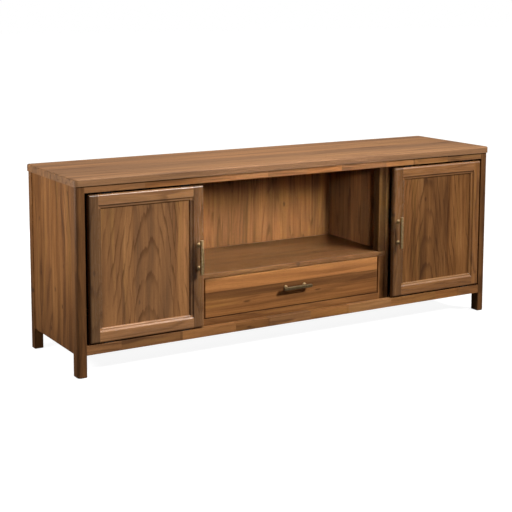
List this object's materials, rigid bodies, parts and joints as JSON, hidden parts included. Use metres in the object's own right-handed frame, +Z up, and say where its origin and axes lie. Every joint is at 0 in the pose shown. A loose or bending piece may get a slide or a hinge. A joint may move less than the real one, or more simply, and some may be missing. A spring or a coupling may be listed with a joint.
{
  "type": "tv stand with sliding doors",
  "caption": "Long low walnut TV stand with framed sliding doors at the sides and a set-back middle of open niche over a wide drawer.",
  "frame": {"origin": "on the floor under the middle of the whole outline, pulls included", "axes": "+X to the right along the length, +Y from the doors to the back, +Z up"},
  "size_m": [1.93, 0.5124, 0.73],
  "materials": {
    "walnut": "satin oiled walnut planks",
    "pale_wood": "plain sanded drawer wood",
    "antique_brass": "darkened brass, rubbed bright on the edges",
    "steel": "zinc plated",
    "nylon": "matt"
  },
  "bodies": {
    "case": {"back_panel_left": "walnut", "back_panel_middle": "walnut", "back_panel_right": "walnut", "bottom_panel": "walnut", "divider_left": "walnut", "divider_right": "walnut", "drawer_base": "pale_wood", "drawer_box_back": "pale_wood", "drawer_box_front": "pale_wood", "drawer_cleats": "pale_wood", "drawer_front": "walnut", "drawer_pull_bar": "antique_brass", "drawer_pull_posts": "antique_brass", "drawer_side_left": "pale_wood", "drawer_side_right": "pale_wood", "drawer_slide_cages": "steel", "drawer_slides_inner": "steel", "drawer_slides_outer": "steel", "drawer_stile_left": "walnut", "drawer_stile_right": "walnut", "leg_back_left": "walnut", "leg_back_right": "walnut", "leg_front_left": "walnut", "leg_front_right": "walnut", "leg_glides": "nylon", "middle_rail": "walnut", "niche_shelf": "walnut", "niche_stile_left": "walnut", "niche_stile_right": "walnut", "rail_back_bottom": "walnut", "rail_back_top": "walnut", "rail_front_bottom": "walnut", "rail_front_top": "walnut", "shelf_left": "walnut", "shelf_pins": "steel", "shelf_right": "walnut", "side_panel_left": "walnut", "side_panel_right": "walnut", "top_board": "walnut"},
    "door_left": {"door_left_guides": "nylon", "door_left_panel": "walnut", "door_left_pull_bar": "antique_brass", "door_left_pull_posts": "antique_brass", "door_left_rail_bottom": "walnut", "door_left_rail_top": "walnut", "door_left_runners": "nylon", "door_left_stile_left": "walnut", "door_left_stile_right": "walnut"},
    "door_right": {"door_right_guides": "nylon", "door_right_panel": "walnut", "door_right_pull_bar": "antique_brass", "door_right_pull_posts": "antique_brass", "door_right_rail_bottom": "walnut", "door_right_rail_top": "walnut", "door_right_runners": "nylon", "door_right_stile_left": "walnut", "door_right_stile_right": "walnut"}
  },
  "joints": [
    {"name": "door_left_slide", "type": "slide", "parent": "case", "child": "door_left", "axis": [1, 0, 0], "range_m": [-0.014, 0.448]},
    {"name": "door_right_slide", "type": "slide", "parent": "case", "child": "door_right", "axis": [1, 0, 0], "range_m": [-0.448, 0]}
  ]
}
